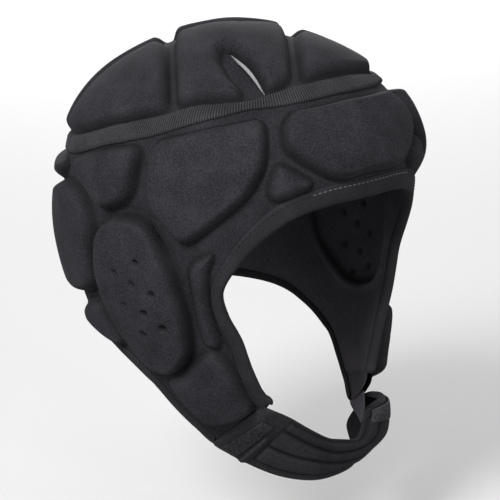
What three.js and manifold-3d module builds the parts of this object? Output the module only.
// A rugby scrum cap: thin stretch laminate shells that carry raised foam pads, with a ribbed elastic band
// between crown and lower part, folded trim round the face and the hem, and a strap under the chin.
// Millimetres, +Z up. The face looks along -Y, the wearer's left is +X, and the origin is where the top of
// the head meets the lining.
import * as THREE from "three";
import { mergeVertices } from "three/addons/utils/BufferGeometryUtils.js";
import Module from "manifold-3d";

const wasm = await Module();
wasm.setup();

// Overall sizes of the laminate's outer face
const halfWidth = 86;
const frontReach = 98.5;
const backReach = 106;
const capDrop = 250;
const strapSway = 16;
const sectionPower = 2.25;

// Thicknesses, heights and clearances
const shellWall = 2.5;
const padRise = 8.4;
const crownPadRise = 7;
const padClearance = 1;
const clearance = 0.3;
const bandWidth = 11.5;
const bandWall = 1.7;
const bandGap = 0.65;
const trimWidth = 10;
const trimWall = 1.2;
const trimGap = 1.1;
const innerLeg = 0.6;
const strapWall = 3;
const strapBulge = 10;
const patchWall = 1.6;
const patchInset = 3;
const tabWall = 2;
const tabTipWidth = 6;
const holeRadius = 1.75;
const slitWidth = 3.2;
const slitLength = 42;
const cornerRound = 7;
const bevelRun = 3.2;
const footSpread = 1.5;
const crownTurn = 50;
const crownShift = -0.12;
const bandMargin = 2.2;

// Horizontal sections of the laminate, from the top of the crown down to the lowest point of the strap:
// drop as a share of capDrop, side of halfWidth, front of frontReach, back of backReach, sway of strapSway.
const sections = [
  { drop: 0, side: 0, front: 0, back: 0, sway: 0 },
  { drop: 0.012, side: 0.267, front: 0.279, back: 0.236, sway: 0 },
  { drop: 0.052, side: 0.56, front: 0.589, back: 0.476, sway: 0 },
  { drop: 0.122, side: 0.837, front: 0.853, back: 0.717, sway: 0 },
  { drop: 0.217, side: 0.977, front: 1, back: 0.892, sway: 0 },
  { drop: 0.33, side: 1, front: 0.993, back: 0.981, sway: 0 },
  { drop: 0.442, side: 0.988, front: 0.939, back: 1, sway: 0 },
  { drop: 0.554, side: 0.942, front: 0.878, back: 0.939, sway: 0 },
  { drop: 0.658, side: 0.872, front: 0.802, back: 0.844, sway: 0.05 },
  { drop: 0.77, side: 0.794, front: 0.736, back: 0.736, sway: 0.25 },
  { drop: 0.882, side: 0.69, front: 0.67, back: 0.623, sway: 0.62 },
  { drop: 0.994, side: 0.552, front: 0.594, back: 0.509, sway: 1 },
];

// The elastic band's centre line: turn in degrees from the middle of the forehead, drop as a share of
// capDrop, width as a share of bandWidth. It pinches where the slit vents meet it.
const bandLine = [
  { turn: 0, drop: 0.079, width: 1 },
  { turn: 20, drop: 0.083, width: 1 },
  { turn: 33, drop: 0.09, width: 0.8 },
  { turn: 44, drop: 0.098, width: 0.5 },
  { turn: 56, drop: 0.108, width: 0.75 },
  { turn: 68, drop: 0.122, width: 1 },
  { turn: 80, drop: 0.148, width: 1 },
  { turn: 92, drop: 0.178, width: 1 },
  { turn: 115, drop: 0.232, width: 1 },
  { turn: 137, drop: 0.26, width: 1 },
  { turn: 160, drop: 0.272, width: 1 },
  { turn: 180, drop: 0.276, width: 1 },
];

// The free edge of the lower part, from the middle of the brow round the cheek, across the jaw end and
// along the hem to the nape: from is the turn on the band that a line of the laminate starts at, turn and
// drop are where it ends, trim is the width of the folded edge there as a share of trimWidth.
const freeEdge = [
  { from: 0, turn: 0, drop: 0.29, trim: 0.95 },
  { from: 14, turn: 15, drop: 0.294, trim: 0.95 },
  { from: 28, turn: 29, drop: 0.318, trim: 0.95 },
  { from: 40, turn: 39.5, drop: 0.366, trim: 0.8 },
  { from: 50, turn: 47, drop: 0.422, trim: 0.6 },
  { from: 60, turn: 53, drop: 0.49, trim: 0.45 },
  { from: 72, turn: 51, drop: 0.55, trim: 0.45 },
  { from: 88, turn: 45, drop: 0.614, trim: 0.5 },
  { from: 93, turn: 41, drop: 0.682, trim: 0.6 },
  { from: 97, turn: 36.5, drop: 0.746, trim: 0.7 },
  { from: 99, turn: 33.5, drop: 0.772, trim: 0.7 },
  { from: 106, turn: 50, drop: 0.834, trim: 0.5 },
  { from: 112, turn: 66, drop: 0.888, trim: 0.5 },
  { from: 116, turn: 75, drop: 0.85, trim: 0.5 },
  { from: 120, turn: 82, drop: 0.806, trim: 0.5 },
  { from: 124, turn: 90, drop: 0.746, trim: 0.5 },
  { from: 130, turn: 101, drop: 0.7, trim: 0.5 },
  { from: 139, turn: 116, drop: 0.668, trim: 0.5 },
  { from: 158, turn: 146, drop: 0.654, trim: 0.5 },
  { from: 180, turn: 180, drop: 0.65, trim: 0.5 },
];
const jawFrontRow = 10;
const jawBackRow = 12;

// The chin strap from the right jaw under the chin to the left jaw end, which it cups: its upper and its
// lower edge in turn and drop. How far it stands off the laminate's face is lowLift at the lower edge and
// bow more in the middle, as shares of strapBulge, and seat of the clearance all over.
const strapLine = [
  { upTurn: -31.8, upDrop: 0.782, lowTurn: -66.6, lowDrop: 0.894, lowLift: 0, bow: 0, seat: 0 },
  { upTurn: -24, upDrop: 0.806, lowTurn: -55, lowDrop: 0.928, lowLift: 0, bow: 0, seat: 0 },
  { upTurn: -14, upDrop: 0.846, lowTurn: -37, lowDrop: 0.966, lowLift: 0, bow: 0, seat: 0 },
  { upTurn: -3, upDrop: 0.884, lowTurn: -14, lowDrop: 0.99, lowLift: 0, bow: 0, seat: 0 },
  { upTurn: 8, upDrop: 0.905, lowTurn: 8, lowDrop: 0.995, lowLift: -0.05, bow: 0.05, seat: 0 },
  { upTurn: 17, upDrop: 0.915, lowTurn: 46, lowDrop: 0.995, lowLift: -0.25, bow: 0.6, seat: 1 },
  { upTurn: 20.5, upDrop: 0.898, lowTurn: 70, lowDrop: 0.965, lowLift: -0.1, bow: 1.1, seat: 1 },
  { upTurn: 22, upDrop: 0.868, lowTurn: 72, lowDrop: 0.917, lowLift: 0.3, bow: 0.92, seat: 1 },
  { upTurn: 23, upDrop: 0.838, lowTurn: 59, lowDrop: 0.846, lowLift: 0, bow: 0.75, seat: 1 },
];
const loopPatchRows = [0.1, 0.75];
const gripEndRows = [7.05, 7.85];

// The short tab of the left jaw end, inside the strap: the stretch of the free edge that it continues, by
// rows of that table, and the middle of its tip
const tabRoot = [11.1, 11.75];
const tabTip = { turn: 40, drop: 0.91 };

// Pads of the lower part on one side, by their corners as turn and drop. The other side is its mirror.
const sidePads = {
  brow_pad: [
    [34, 0.204], [21, 0.248], [30, 0.27], [34.8, 0.278], [37, 0.262], [36.5, 0.23],
  ],
  temple_pad: [
    [79.5, 0.182], [60, 0.146], [38, 0.122], [39.5, 0.208], [45.5, 0.27], [57, 0.338], [66, 0.388],
    [72.5, 0.35], [79.5, 0.306],
  ],
  rear_upper_pad: [[113.5, 0.262], [84, 0.194], [86.5, 0.304], [95.5, 0.352], [103, 0.316]],
  ear_pad: [
    [91, 0.356], [80.5, 0.35], [73, 0.43], [66.5, 0.56], [66.5, 0.65], [76, 0.706], [87, 0.694],
    [95.5, 0.6], [100.5, 0.498], [98, 0.4],
  ],
  rear_side_pad: [
    [119, 0.322], [107.5, 0.336], [102.5, 0.38], [102.5, 0.526], [106, 0.548], [118, 0.576],
    [152, 0.566], [157, 0.4], [140, 0.368], [129, 0.346],
  ],
  rear_low_pad: [
    [115.5, 0.596], [103, 0.568], [101.5, 0.614], [96.5, 0.66], [104, 0.654], [117, 0.632],
  ],
  front_ear_pad: [
    [55.5, 0.4], [64, 0.434], [62.4, 0.49], [61.4, 0.538], [59.7, 0.586], [58.2, 0.62], [53, 0.62],
    [56.4, 0.56], [58.3, 0.5], [58, 0.44],
  ],
  jaw_pad: [
    [79, 0.712], [71, 0.706], [64.5, 0.676], [60, 0.644], [56.5, 0.632], [51.8, 0.65], [48, 0.69],
    [45.4, 0.742], [42.8, 0.77], [48, 0.798], [64, 0.826], [73, 0.774],
  ],
};

// Pads that cross the middle: the corners of one half, from the middle out and back to the middle.
const middlePads = {
  forehead_pad: {
    middle: 0,
    corners: [
      [0, 0.107], [25, 0.114], [30, 0.134], [31, 0.172], [26, 0.196], [15, 0.234], [10, 0.24], [0, 0.234],
    ],
  },
  back_upper_pad: {
    middle: 180,
    corners: [[180, 0.314], [124, 0.293], [129, 0.331], [150, 0.36], [180, 0.375]],
  },
  nape_pad: {
    middle: 180,
    corners: [[180, 0.425], [164, 0.425], [162, 0.6], [180, 0.605]],
  },
};

// Crown pads on one side of the crown's middle groove, which is turned by crownTurn and lies crownShift
// aside of the top: ahead and aside of the groove, as shares of halfWidth. The outer corners lie past the
// band, whose edge cuts them off.
const crownPads = {
  crown_rear_pad: [[-0.49, 0.05], [-0.49, 1.4], [-1.4, 1.4], [-1.4, 0.05]],
  crown_middle_pad: [[0.27, 0.05], [0.24, 1.4], [-0.4, 1.4], [-0.4, 0.05]],
  crown_front_pad: [[1.4, 0.05], [1.4, 1.4], [0.36, 1.4], [0.36, 0.05]],
};

// The low place in each middle pad, where the slit vent lies, in the same measures as the crown pads
const padNotch = [
  [-0.16, 0.47], [-0.17, 0.62], [-0.12, 0.78], [-0.05, 0.9], [-0.02, 1.5], [0.2, 1.5], [0.15, 0.93],
  [0.1, 0.8], [0.05, 0.68], [0, 0.58], [-0.06, 0.47], [-0.11, 0.44],
];
const slitMiddle = { ahead: 0.015, aside: 0.705 };
const slitLean = 25;

// Hearing holes of an ear pad: turn and drop
const earHoles = [
  [82, 0.438], [90, 0.474], [84, 0.49], [76.5, 0.502], [88, 0.546], [80.5, 0.55], [73.5, 0.576], [82, 0.602],
];

// Faceting
const ringRun = 17;
const edgeRun = 22;
const edgeSteps = 2;
const crownColumns = 42;
const crownRows = 6;
const lowerRows = 6;
const bandColumns = 60;
const strapSteps = 12;
const strapColumns = 6;
const holeSides = 6;

// Values between the rows of a table, on a smooth curve. Lengths that fall to nothing at the top change
// sign across it, and the others are the same on both sides.
const sectionColumns = { drop: 1, side: -1, front: -1, back: -1, sway: 1 };

function sectionAt(row, column) {
  const last = sections.length - 1;
  const i = Math.min(Math.max(Math.floor(row), 0), last - 1);
  const value = (k) => {
    if (k < 0) return sectionColumns[column] * sections[-k][column];
    if (k > last) return 2 * sections[last][column] - sections[last - 1][column];
    return sections[k][column];
  };
  return blendFour(value(i - 1), value(i), value(i + 1), value(i + 2), row - i);
}

function blendFour(a, b, c, d, t) {
  return 0.5 * (2 * b + (c - a) * t + (2 * a - 5 * b + 4 * c - d) * t * t + (3 * b - a - 3 * c + d) * t ** 3);
}

const rowSamples = Array.from({ length: 1101 }, (_, i) => ({
  row: i / 100,
  drop: sectionAt(i / 100, "drop"),
}));

function rowAt(drop) {
  let low = 0;
  let high = rowSamples.length - 1;
  while (high - low > 1) {
    const middle = (low + high) >> 1;
    if (rowSamples[middle].drop < drop) low = middle;
    else high = middle;
  }
  const a = rowSamples[low];
  const b = rowSamples[high];
  return a.row + ((b.row - a.row) * (drop - a.drop)) / (b.drop - a.drop);
}

// A smooth curve through a table whose first column rises, by the value of that column or by row number.
function tableAt(table, row, column) {
  const last = table.length - 1;
  const i = Math.min(Math.max(Math.floor(row), 0), last - 1);
  const value = (k) => table[Math.min(Math.max(k, 0), last)][column];
  return blendFour(value(i - 1), value(i), value(i + 1), value(i + 2), row - i);
}

function rowOfTurn(table, key, turn) {
  const last = table.length - 1;
  let i = 0;
  while (i < last - 1 && table[i + 1][key] < turn) i++;
  return i + (turn - table[i][key]) / (table[i + 1][key] - table[i][key]);
}

// A point of the laminate's outer face, as a rounded section of the cap at that drop
function basePoint(turn, row) {
  const angle = THREE.MathUtils.degToRad(turn);
  const power = 2 / sectionPower;
  const across = Math.sign(Math.sin(angle)) * Math.abs(Math.sin(angle)) ** power;
  const ahead = Math.sign(Math.cos(angle)) * Math.abs(Math.cos(angle)) ** power;
  const reach = ahead > 0 ? frontReach * sectionAt(row, "front") : backReach * sectionAt(row, "back");
  return new THREE.Vector3(
    halfWidth * sectionAt(row, "side") * across + strapSway * sectionAt(row, "sway"),
    -reach * ahead,
    shellWall - capDrop * sectionAt(row, "drop"),
  );
}

function surfaceFrame(turn, drop) {
  const row = Math.max(rowAt(drop), 0.02);
  const step = 0.01;
  const down = basePoint(turn, row + step).sub(basePoint(turn, row - step)).normalize();
  const round = basePoint(turn + step * 20, row).sub(basePoint(turn - step * 20, row)).normalize();
  return { point: basePoint(turn, row), out: down.clone().cross(round).normalize(), round, down };
}

function lifted(turn, drop, lift) {
  if (drop <= 0) return new THREE.Vector3(0, 0, shellWall + lift);
  const frame = surfaceFrame(turn, drop);
  return frame.point.addScaledVector(frame.out, lift);
}

// A closed solid from points and triangles, turned so that its faces look outwards
function solidFrom(points, triangles) {
  const flat = new Float32Array(points.length * 3);
  points.forEach((p, i) => p.toArray(flat, i * 3));
  const loose = new THREE.BufferGeometry();
  loose.setAttribute("position", new THREE.BufferAttribute(flat, 3));
  loose.setIndex(triangles);
  const merged = mergeVertices(loose, 1e-3);
  const index = merged.index.array;
  const place = merged.attributes.position.array;
  const kept = [];
  let volume = 0;
  for (let i = 0; i < index.length; i += 3) {
    const [a, b, c] = [index[i], index[i + 1], index[i + 2]];
    if (a === b || b === c || c === a) continue;
    kept.push(a, b, c);
    const [p, q, r] = [a, b, c].map((k) => new THREE.Vector3().fromArray(place, k * 3));
    volume += p.dot(q.cross(r));
  }
  if (volume < 0) {
    for (let i = 0; i < kept.length; i += 3) {
      [kept[i + 1], kept[i + 2]] = [kept[i + 2], kept[i + 1]];
    }
  }
  const mesh = new wasm.Mesh({ numProp: 3, vertProperties: place, triVerts: new Uint32Array(kept) });
  return new wasm.Manifold(mesh);
}

// A skin of the cap over a grid of places, from one lift to another. A looped grid closes on itself.
function skin(grid, over, under, looped) {
  const columns = grid.length;
  const rows = grid[0].length;
  const points = [];
  for (const lift of [over, under]) {
    for (const column of grid) {
      for (const [turn, drop, extra = 0] of column) points.push(lifted(turn, drop, lift + extra));
    }
  }
  const inner = columns * rows;
  const at = (i, j, side) => side * inner + (i % columns) * rows + j;
  const triangles = [];
  const quad = (a, b, c, d) => triangles.push(a, b, c, a, c, d);
  const spans = looped ? columns : columns - 1;
  for (let i = 0; i < spans; i++) {
    for (let j = 0; j < rows - 1; j++) {
      quad(at(i, j, 0), at(i + 1, j, 0), at(i + 1, j + 1, 0), at(i, j + 1, 0));
      quad(at(i, j, 1), at(i, j + 1, 1), at(i + 1, j + 1, 1), at(i + 1, j, 1));
    }
    quad(at(i, 0, 0), at(i, 0, 1), at(i + 1, 0, 1), at(i + 1, 0, 0));
    quad(at(i, rows - 1, 0), at(i + 1, rows - 1, 0), at(i + 1, rows - 1, 1), at(i, rows - 1, 1));
  }
  if (!looped) {
    for (let j = 0; j < rows - 1; j++) {
      quad(at(0, j, 0), at(0, j + 1, 0), at(0, j + 1, 1), at(0, j, 1));
      const end = columns - 1;
      quad(at(end, j, 0), at(end, j, 1), at(end, j + 1, 1), at(end, j + 1, 0));
    }
  }
  return solidFrom(points, triangles);
}

// A flat chart of the cap in millimetres: round the top it is the cap unrolled from the crown's point, and
// down the sides it is turn and drop at their true lengths.
const topChart = {
  into: (turn, drop) => {
    const run = topRun(drop);
    const angle = THREE.MathUtils.degToRad(turn);
    return new THREE.Vector2(run * Math.sin(angle), run * Math.cos(angle));
  },
  back: (p) => [THREE.MathUtils.radToDeg(Math.atan2(p.x, p.y)), dropOfRun(p.length())],
};
const sideChart = {
  into: (turn, drop) => new THREE.Vector2(THREE.MathUtils.degToRad(turn) * halfWidth, drop * capDrop),
  back: (p) => [THREE.MathUtils.radToDeg(p.x / halfWidth), p.y / capDrop],
};

// How far down the side of the cap a drop lies, measured over the crown
const runSamples = rowSamples.map(() => 0);
rowSamples.forEach((sample, i) => {
  if (i) {
    const step = basePoint(90, sample.row).distanceTo(basePoint(90, rowSamples[i - 1].row));
    runSamples[i] = runSamples[i - 1] + step;
  }
});

function topRun(drop) {
  const place = rowAt(drop) * 100;
  const i = Math.min(Math.max(Math.floor(place), 0), runSamples.length - 2);
  return runSamples[i] + (runSamples[i + 1] - runSamples[i]) * (place - i);
}

function dropOfRun(run) {
  let low = 0;
  let high = runSamples.length - 1;
  while (high - low > 1) {
    const middle = (low + high) >> 1;
    if (runSamples[middle] < run) low = middle;
    else high = middle;
  }
  const share = (run - runSamples[low]) / (runSamples[high] - runSamples[low]);
  return sectionAt(rowSamples[low].row + share / 100, "drop");
}

// Where a point seen from above lies on the laminate. Past the band's upper edge, with a margin, it moves
// up to that edge.
function crownPlace(ahead, offGroove, margin) {
  const aside = offGroove + crownShift;
  const turned = THREE.MathUtils.degToRad(crownTurn);
  const x = halfWidth * (ahead * Math.sin(turned) - aside * Math.cos(turned));
  const y = halfWidth * (-ahead * Math.cos(turned) - aside * Math.sin(turned));
  let low = 0.001;
  let high = 5;
  const parts = (row) => [
    Math.abs(x) / (halfWidth * sectionAt(row, "side")),
    Math.abs(y) / (y < 0 ? frontReach * sectionAt(row, "front") : backReach * sectionAt(row, "back")),
  ];
  for (let k = 0; k < 40; k++) {
    const middle = (low + high) / 2;
    const [p, q] = parts(middle);
    if (p ** sectionPower + q ** sectionPower > 1) low = middle;
    else high = middle;
  }
  const [p, q] = parts(low);
  const half = sectionPower / 2;
  const angle = Math.atan2(p ** half, q ** half);
  const turn = THREE.MathUtils.radToDeg(y < 0 ? angle : Math.PI - angle) * (Math.sign(x) || 1);
  const drop = sectionAt(low, "drop");
  return [turn, Math.min(drop, bandEdge(turn, -1) - margin / capDrop)];
}

// The drop of the band's upper or lower edge
function bandEdge(anyTurn, side) {
  const turn = anyTurn - 360 * Math.round(anyTurn / 360);
  const row = rowOfTurn(bandLine, "turn", Math.abs(turn));
  const centre = tableAt(bandLine, row, "drop");
  const steep = Math.max(-surfaceFrame(turn, centre).down.z, 0.35);
  return centre + (side * steep * 0.5 * bandWidth * tableAt(bandLine, row, "width")) / capDrop;
}

// An outline with its corners rounded and its long edges in steps
function roundedOutline(loop, radius) {
  const corners = THREE.ShapeUtils.isClockWise(loop) ? [...loop].reverse() : loop;
  const points = [];
  const count = corners.length;
  corners.forEach((corner, i) => {
    const before = corners[(i + count - 1) % count].clone().sub(corner);
    const after = corners[(i + 1) % count].clone().sub(corner);
    const cut = Math.min(radius, 0.42 * before.length(), 0.42 * after.length());
    const start = corner.clone().addScaledVector(before.normalize(), cut);
    const end = corner.clone().addScaledVector(after.normalize(), cut);
    const middle = start.clone().add(end).multiplyScalar(0.25).addScaledVector(corner, 0.5);
    const straight = before.dot(after) < -0.9;
    points.push(...(straight ? [corner] : [start, middle, end]));
  });
  return points.flatMap((p, i) => {
    const next = points[(i + 1) % points.length];
    const steps = Math.max(1, Math.ceil(p.distanceTo(next) / edgeRun));
    return Array.from({ length: steps }, (_, k) => p.clone().lerp(next, k / steps));
  });
}

function centreOf(outline) {
  let area = 0;
  const sum = new THREE.Vector2();
  outline.forEach((p, i) => {
    const q = outline[(i + 1) % outline.length];
    const part = p.cross(q);
    area += part;
    sum.addScaledVector(p.clone().add(q), part / 3);
  });
  return sum.divideScalar(area);
}

// A crown pad's outline on the flat chart: its straight sides seen from above as far as the band, then
// along the band, kept as few corners as hold its shape
function crownOutline(corners, side) {
  const steps = 80;
  const fine = corners.flatMap(([ahead, aside], i) => {
    const [nextAhead, nextAside] = corners[(i + 1) % corners.length];
    return Array.from({ length: steps }, (_, k) => {
      const t = k / steps;
      const place = [ahead + (nextAhead - ahead) * t, aside + (nextAside - aside) * t];
      const [turn, drop] = crownPlace(place[0], -side * place[1], -capDrop);
      return { turn, drop, past: drop > crownEdge(turn) };
    });
  });
  const count = fine.length;
  const start = fine.findIndex((p, i) => !p.past && fine[(i + count - 1) % count].past);
  const inside = fine.map((_, i) => fine[(start + i) % count]).filter((p) => !p.past);
  const [first, last] = [inside[0], inside[inside.length - 1]];
  const sweep = first.turn - last.turn - 360 * Math.round((first.turn - last.turn) / 360);
  const arc = Array.from({ length: steps - 1 }, (_, k) => {
    const turn = last.turn + (sweep * (k + 1)) / steps;
    return { turn, drop: crownEdge(turn) };
  });
  const loop = [...inside, ...arc].map(({ turn, drop }) => topChart.into(turn, drop));
  const half = Math.floor(loop.length / 2);
  const halves = [loop.slice(0, half + 1), [...loop.slice(half), loop[0]]];
  return halves.flatMap((run) => thinned(run).slice(0, -1));
}

function crownEdge(turn) {
  return bandEdge(turn, -1) - bandMargin / capDrop;
}

// A run of points without those that lie close to the line between their neighbours
function thinned(run) {
  const tolerance = 0.6;
  const [first, last] = [run[0], run[run.length - 1]];
  const chord = last.clone().sub(first);
  const off = run.map((p) => Math.abs(p.clone().sub(first).cross(chord)) / Math.max(chord.length(), 1e-6));
  const far = off.indexOf(Math.max(...off));
  if (off[far] < tolerance || run.length < 3) return [first, last];
  return [...thinned(run.slice(0, far + 1)).slice(0, -1), ...thinned(run.slice(far))];
}

// The middle of an outline drawn out along its longer way, and the nearest place on it to a point
function spineOf(outline) {
  const centre = centreOf(outline);
  const spread = [0, 0, 0];
  for (const p of outline) {
    const [x, y] = [p.x - centre.x, p.y - centre.y];
    [x * x, y * y, x * y].forEach((part, k) => (spread[k] += part / outline.length));
  }
  const lean = 0.5 * Math.atan2(2 * spread[2], spread[0] - spread[1]);
  const long = new THREE.Vector2(Math.cos(lean), Math.sin(lean));
  const cross = new THREE.Vector2(-long.y, long.x);
  const half = (way) => Math.max(...outline.map((p) => Math.abs(p.clone().sub(centre).dot(way))));
  const run = Math.max(half(long) - half(cross), 0);
  const nearest = (p) => {
    const along = Math.min(Math.max(p.clone().sub(centre).dot(long), -run), run);
    return centre.clone().addScaledVector(long, along);
  };
  return { long, nearest };
}

// Triangles that fill a ring, as a strip that runs along its spine
function filled(ring, long) {
  const count = ring.length;
  const along = ring.map((p) => p.dot(long));
  const start = along.indexOf(Math.min(...along));
  const triangles = [];
  let [i, j] = [start, start];
  while ((i + 1) % count !== j) {
    const [ahead, behind] = [(i + 1) % count, (j + count - 1) % count];
    if (along[ahead] <= along[behind]) {
      if (i !== j) triangles.push([i, ahead, j]);
      i = ahead;
    } else {
      if (i !== j) triangles.push([behind, j, i]);
      j = behind;
    }
  }
  return triangles;
}

// A foam pad over an outline, which its wall stands on halfway up: a foot just clear of the laminate, a
// wall, a bevel and a face that follows the cap. Both faces are rings that shrink towards the outline's
// spine.
function pad(outline, chart, rise) {
  const spine = spineOf(outline);
  const reach = Math.max(...outline.map((p) => p.distanceTo(spine.nearest(p))));
  const rings = Math.ceil(reach / ringRun);
  const points = [];
  const triangles = [];
  const count = outline.length;
  const ringAt = (run, share, lift) => {
    const flat = outline.map((p) => {
      const target = spine.nearest(p);
      const inward = target.clone().sub(p);
      return p.clone().addScaledVector(inward.normalize(), run).lerp(target, share);
    });
    flat.forEach((p) => points.push(lifted(...chart.back(p), lift)));
    return { first: points.length - count, flat };
  };
  const join = (a, b) => {
    outline.forEach((_, i) => {
      const k = (i + 1) % count;
      triangles.push(a.first + i, a.first + k, b.first + k, a.first + i, b.first + k, b.first + i);
    });
  };
  const foot = ringAt(-footSpread, 0, padClearance);
  const wall = ringAt(0.3 * bevelRun - footSpread, 0, padClearance + 0.6 * rise);
  const brow = ringAt(bevelRun - footSpread, 0, rise);
  join(foot, wall);
  join(wall, brow);
  const topRings = Math.max(1, Math.floor(rings / 2));
  let top = brow;
  for (let k = 1; k <= topRings; k++) {
    const next = ringAt(bevelRun - footSpread, k / (topRings + 1), rise);
    join(top, next);
    top = next;
  }
  let base = foot;
  for (let k = 1; k <= rings; k++) {
    const next = ringAt(-footSpread, k / (rings + 1), padClearance);
    join(next, base);
    base = next;
  }
  for (const triangle of filled(top.flat, spine.long)) {
    triangles.push(...triangle.map((k) => top.first + k));
  }
  for (const triangle of filled(base.flat, spine.long).map((corners) => corners.reverse())) {
    triangles.push(...triangle.map((k) => base.first + k));
  }
  return solidFrom(points, triangles);
}

// A block through the laminate or a pad over an outline, to cut with
function cutter(shape, chart, under, over) {
  const outline = THREE.ShapeUtils.isClockWise(shape) ? [...shape].reverse() : shape;
  const count = outline.length;
  const points = [under, over].flatMap((lift) => outline.map((p) => lifted(...chart.back(p), lift)));
  const triangles = THREE.ShapeUtils.triangulateShape(outline, []).flatMap(([a, b, c]) => {
    return [c, b, a, a + count, b + count, c + count];
  });
  outline.forEach((_, i) => {
    const k = (i + 1) % count;
    triangles.push(i, k, k + count, i, k + count, i + count);
  });
  return solidFrom(points, triangles);
}

function crownShell() {
  const grid = Array.from({ length: crownColumns }, (_, i) => {
    const turn = -180 + (360 * i) / crownColumns;
    const edge = bandCentre(turn) - clearance / capDrop;
    return Array.from({ length: crownRows + 1 }, (_, j) => {
      return [turn, j ? dropOfRun(topRun(edge) * (j / crownRows)) : 0];
    });
  });
  let shell = skin(grid, 0, -shellWall, true);
  for (const side of [1, -1]) shell = shell.subtract(slitCutter(side));
  return shell;
}

function bandCentre(turn) {
  return tableAt(bandLine, rowOfTurn(bandLine, "turn", Math.abs(turn)), "drop");
}

// A slit vent: a lens through the crown, leaning across the notch of a middle pad
function slitCutter(side) {
  const lean = THREE.MathUtils.degToRad(slitLean);
  const steps = 5;
  const edge = (half) =>
    Array.from({ length: steps }, (_, k) => {
      const along = half * (-0.5 + k / steps) * slitLength;
      const across = half * 0.5 * slitWidth * Math.cos((Math.PI * along) / slitLength);
      return [along, across];
    });
  const outline = [...edge(1), ...edge(-1)].map(([along, across]) => {
    const ahead = slitMiddle.ahead + (along * Math.sin(lean) + across * Math.cos(lean)) / halfWidth;
    const aside = slitMiddle.aside + (along * Math.cos(lean) - across * Math.sin(lean)) / halfWidth;
    return topChart.into(...crownPlace(ahead, side * aside, 0));
  });
  return cutter(outline, topChart, -3 * shellWall, 3 * shellWall);
}

// A line of laminate that fans from the band to the free edge, with the direction square to that edge and
// away from it
function stationAt(row) {
  const last = freeEdge.length - 1;
  const at = (place) => {
    const get = (column) => tableAt(freeEdge, Math.min(Math.max(place, 0), last), column);
    return { row, from: get("from"), turn: get("turn"), drop: get("drop"), trim: get("trim") };
  };
  const station = at(row);
  const [before, after] = [at(row - 1 / edgeSteps), at(row + 1 / edgeSteps)];
  const along = lifted(after.turn, after.drop, 0).sub(lifted(before.turn, before.drop, 0)).normalize();
  station.inward = surfaceFrame(station.turn, station.drop).out.cross(along).normalize();
  return station;
}

function edgeStations() {
  const count = (freeEdge.length - 1) * edgeSteps;
  return Array.from({ length: count + 1 }, (_, i) => stationAt(i / edgeSteps));
}

// Where a short step of so many millimetres along the cap leads, in turn and drop
function stepFrom([turn, drop], step) {
  const span = 0.01;
  const round = lifted(turn + 0.5, drop, 0).sub(lifted(turn - 0.5, drop, 0));
  const down = lifted(turn, drop + span / 2, 0).sub(lifted(turn, drop - span / 2, 0)).divideScalar(span);
  const [a, b, c] = [round.lengthSq(), round.dot(down), down.lengthSq()];
  const [p, q] = [step.dot(round), step.dot(down)];
  const det = a * c - b * b;
  return [turn + (p * c - q * b) / det, drop + (q * a - p * b) / det];
}

function linePlace(station, side, t) {
  const top = bandCentre(station.from) + clearance / capDrop;
  return [side * (station.from + (station.turn - station.from) * t), top + (station.drop - top) * t];
}

function lowerShell() {
  const half = edgeStations();
  const line = (station, side) => {
    return Array.from({ length: lowerRows + 1 }, (_, j) => linePlace(station, side, j / lowerRows));
  };
  const grid = [...half.map((s) => line(s, 1)), ...half.slice(1, -1).reverse().map((s) => line(s, -1))];
  let shell = skin(grid, 0, -shellWall, true);
  for (const side of [1, -1]) {
    for (const hole of earHoles) shell = shell.subtract(earHole(hole, side));
  }
  return shell;
}

// A hearing hole, drilled square to the cap
function earHole([turn, drop], side) {
  const frame = surfaceFrame(side * turn, drop);
  const length = 2 * (padRise + shellWall);
  const drill = new THREE.CylinderGeometry(holeRadius, holeRadius, length, holeSides);
  const turned = new THREE.Quaternion().setFromUnitVectors(new THREE.Vector3(0, 1, 0), frame.out);
  drill.applyQuaternion(turned);
  drill.translate(...frame.point.toArray());
  drill.deleteAttribute("normal");
  drill.deleteAttribute("uv");
  const merged = mergeVertices(drill, 1e-3);
  const points = Array.from({ length: merged.attributes.position.count }, (_, i) =>
    new THREE.Vector3().fromBufferAttribute(merged.attributes.position, i),
  );
  return solidFrom(points, [...merged.index.array]);
}

function elasticBand() {
  const grid = Array.from({ length: bandColumns }, (_, i) => {
    const turn = -180 + (360 * i) / bandColumns;
    const upper = bandEdge(turn, -1);
    const lower = bandEdge(turn, 1);
    return [upper, lower].map((drop) => [turn, drop]);
  });
  return skin(grid, bandGap + bandWall, bandGap, true);
}

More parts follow.
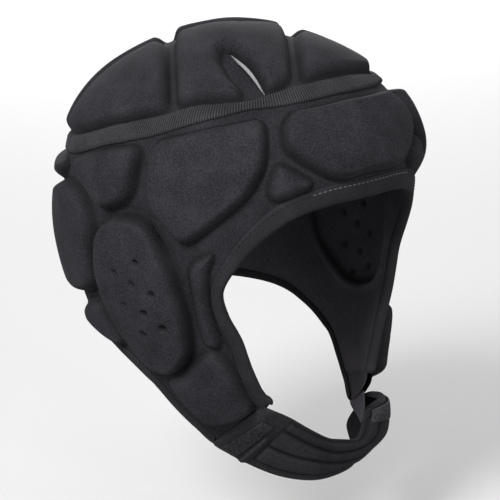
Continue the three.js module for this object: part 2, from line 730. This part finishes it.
// A folded trim along a stretch of the free edge: an outer leg, a fold past the edge and an inner leg. A
// point of its outline has a share of the leg, a run past the edge and a lift from the laminate's face.
function foldedTrim(path) {
  const over = trimGap + trimWall;
  const under = -shellWall - trimGap;
  const outline = [
    [1, 0, over],
    [0, over, over],
    [0, over, under - trimWall],
    [innerLeg, 0, under - trimWall],
    [innerLeg, 0, under],
    [0, trimGap, under],
    [0, trimGap, trimGap],
    [1, 0, trimGap],
  ];
  const points = path.flatMap(({ station, side }) => {
    const end = linePlace(station, side, 1);
    const inward = station.inward.clone().multiply(new THREE.Vector3(side, 1, 1));
    return outline.map(([share, past, lift]) => {
      const place = stepFrom(end, inward.clone().multiplyScalar(share * trimWidth * station.trim));
      return lifted(...place, lift).addScaledVector(inward, -past);
    });
  });
  const count = outline.length;
  const triangles = [];
  for (let i = 0; i < path.length - 1; i++) {
    for (let k = 0; k < count; k++) {
      const a = i * count + k;
      const b = i * count + ((k + 1) % count);
      triangles.push(a, b, b + count, a, b + count, a + count);
    }
  }
  const shape = outline.map(([share, past, lift]) => new THREE.Vector2(trimWidth * share - past, lift));
  const end = (path.length - 1) * count;
  for (const [a, b, c] of THREE.ShapeUtils.triangulateShape(shape, [])) {
    triangles.push(c, b, a, end + a, end + b, end + c);
  }
  return solidFrom(points, triangles);
}

// The trim round the face runs from one jaw over the brow to the other
function faceTrim() {
  const half = edgeStations().filter((s) => s.row <= jawFrontRow - 0.25);
  const right = half.slice(1).reverse().map((station) => ({ station, side: -1 }));
  return foldedTrim([...right, ...half.map((station) => ({ station, side: 1 }))]);
}

// The trim of the hem runs from one jaw round the nape to the other
function neckTrim() {
  const half = edgeStations().filter((s) => s.row >= jawBackRow + 0.25);
  const right = half.slice(0, -1).reverse().map((station) => ({ station, side: -1 }));
  return foldedTrim([...half.map((station) => ({ station, side: 1 })), ...right]);
}

// Places across the strap at even steps along it, leaving a margin free at both edges
function strapGrid(first, last, margin, steps) {
  return Array.from({ length: steps + 1 }, (_, i) => {
    const row = first + ((last - first) * i) / steps;
    const get = (column) => tableAt(strapLine, row, column);
    const upper = [get("upTurn"), get("upDrop")];
    const lower = [get("lowTurn"), get("lowDrop")];
    const width = lifted(...upper, 0).distanceTo(lifted(...lower, 0));
    return Array.from({ length: strapColumns + 1 }, (_, k) => {
      const share = margin / width + (k / strapColumns) * (1 - (2 * margin) / width);
      const [turn, drop] = upper.map((value, n) => value + (lower[n] - value) * share);
      const bulge = get("lowLift") * share + get("bow") * Math.sin(Math.PI * share);
      return [turn, drop, bulge * strapBulge + get("seat") * clearance];
    });
  });
}

function chinStrap() {
  return skin(strapGrid(0, strapLine.length - 1, 0, strapSteps), strapWall, 0, false);
}

function strapPatch([first, last]) {
  const under = strapWall + clearance;
  return skin(strapGrid(first, last, patchInset, 4), under + patchWall, under, false);
}

// The tab narrows from the jaw end, just clear of it, to its tip
function jawTab() {
  const tip = surfaceFrame(tabTip.turn, tabTip.drop);
  const grid = [0, 0.33, 0.67, 1].map((across) => {
    const station = stationAt(tabRoot[0] + (tabRoot[1] - tabRoot[0]) * across);
    const root = stepFrom(linePlace(station, 1, 1), station.inward.clone().multiplyScalar(-2 * clearance));
    const aside = (across - 0.5) * tabTipWidth;
    const end = stepFrom([tabTip.turn, tabTip.drop], tip.down.clone().multiplyScalar(aside));
    return [0, 0.25, 0.5, 0.75, 1].map((t) => root.map((value, k) => value + (end[k] - value) * t));
  });
  return skin(grid, 0, -tabWall, false);
}

const group = new THREE.Group();

function add(name, manifold, material) {
  const mesh = manifold.getMesh();
  const geometry = new THREE.BufferGeometry();
  geometry.setAttribute("position", new THREE.BufferAttribute(mesh.vertProperties, 3));
  geometry.setIndex(new THREE.BufferAttribute(mesh.triVerts, 1));
  geometry.computeVertexNormals();
  const node = new THREE.Mesh(geometry, material);
  node.name = name;
  group.add(node);
}

const laminate = new THREE.MeshStandardMaterial({ color: 0x2a2a2e, roughness: 0.9, metalness: 0 });
const foam = new THREE.MeshStandardMaterial({ color: 0x2e2e33, roughness: 0.88, metalness: 0 });
const elastic = new THREE.MeshStandardMaterial({ color: 0x37373c, roughness: 0.7, metalness: 0 });
const binding = new THREE.MeshStandardMaterial({ color: 0x26262a, roughness: 0.8, metalness: 0 });
const webbing = new THREE.MeshStandardMaterial({ color: 0x222226, roughness: 0.85, metalness: 0 });
const grip = new THREE.MeshStandardMaterial({ color: 0x3c3c40, roughness: 0.95, metalness: 0 });

add("crown_shell", crownShell(), laminate);
add("lower_shell", lowerShell(), laminate);
add("elastic_band", elasticBand(), elastic);
add("face_binding", faceTrim(), binding);
add("neck_binding", neckTrim(), binding);
add("chin_strap", chinStrap(), webbing);
add("strap_loop_patch", strapPatch(loopPatchRows), grip);
add("strap_grip_end", strapPatch(gripEndRows), grip);
add("jaw_tab", jawTab(), webbing);

for (const [name, side] of [["right", -1], ["left", 1]]) {
  for (const [piece, corners] of Object.entries(sidePads)) {
    const outline = roundedOutline(
      corners.map(([turn, drop]) => sideChart.into(side * turn, drop)),
      cornerRound,
    );
    let made = pad(outline, sideChart, padRise);
    if (piece === "ear_pad") {
      for (const hole of earHoles) made = made.subtract(earHole(hole, side));
    }
    add(`${piece}_${name}`, made, foam);
  }
  for (const [piece, corners] of Object.entries(crownPads)) {
    const outline = roundedOutline(crownOutline(corners, side), cornerRound);
    let made = pad(outline, topChart, crownPadRise);
    if (piece === "crown_middle_pad") {
      const notch = padNotch.map(([ahead, aside]) => {
        return topChart.into(...crownPlace(ahead, -side * aside, -bandWidth));
      });
      made = made.subtract(cutter(notch, topChart, -shellWall, 2 * crownPadRise));
    }
    add(`${piece}_${name}`, made, foam);
  }
}

for (const [piece, { middle, corners }] of Object.entries(middlePads)) {
  const other = corners.slice(1, -1).reverse().map(([turn, drop]) => [2 * middle - turn, drop]);
  const outline = roundedOutline(
    [...corners, ...other].map(([turn, drop]) => sideChart.into(turn, drop)),
    cornerRound,
  );
  add(piece, pad(outline, sideChart, padRise), foam);
}

export default group;
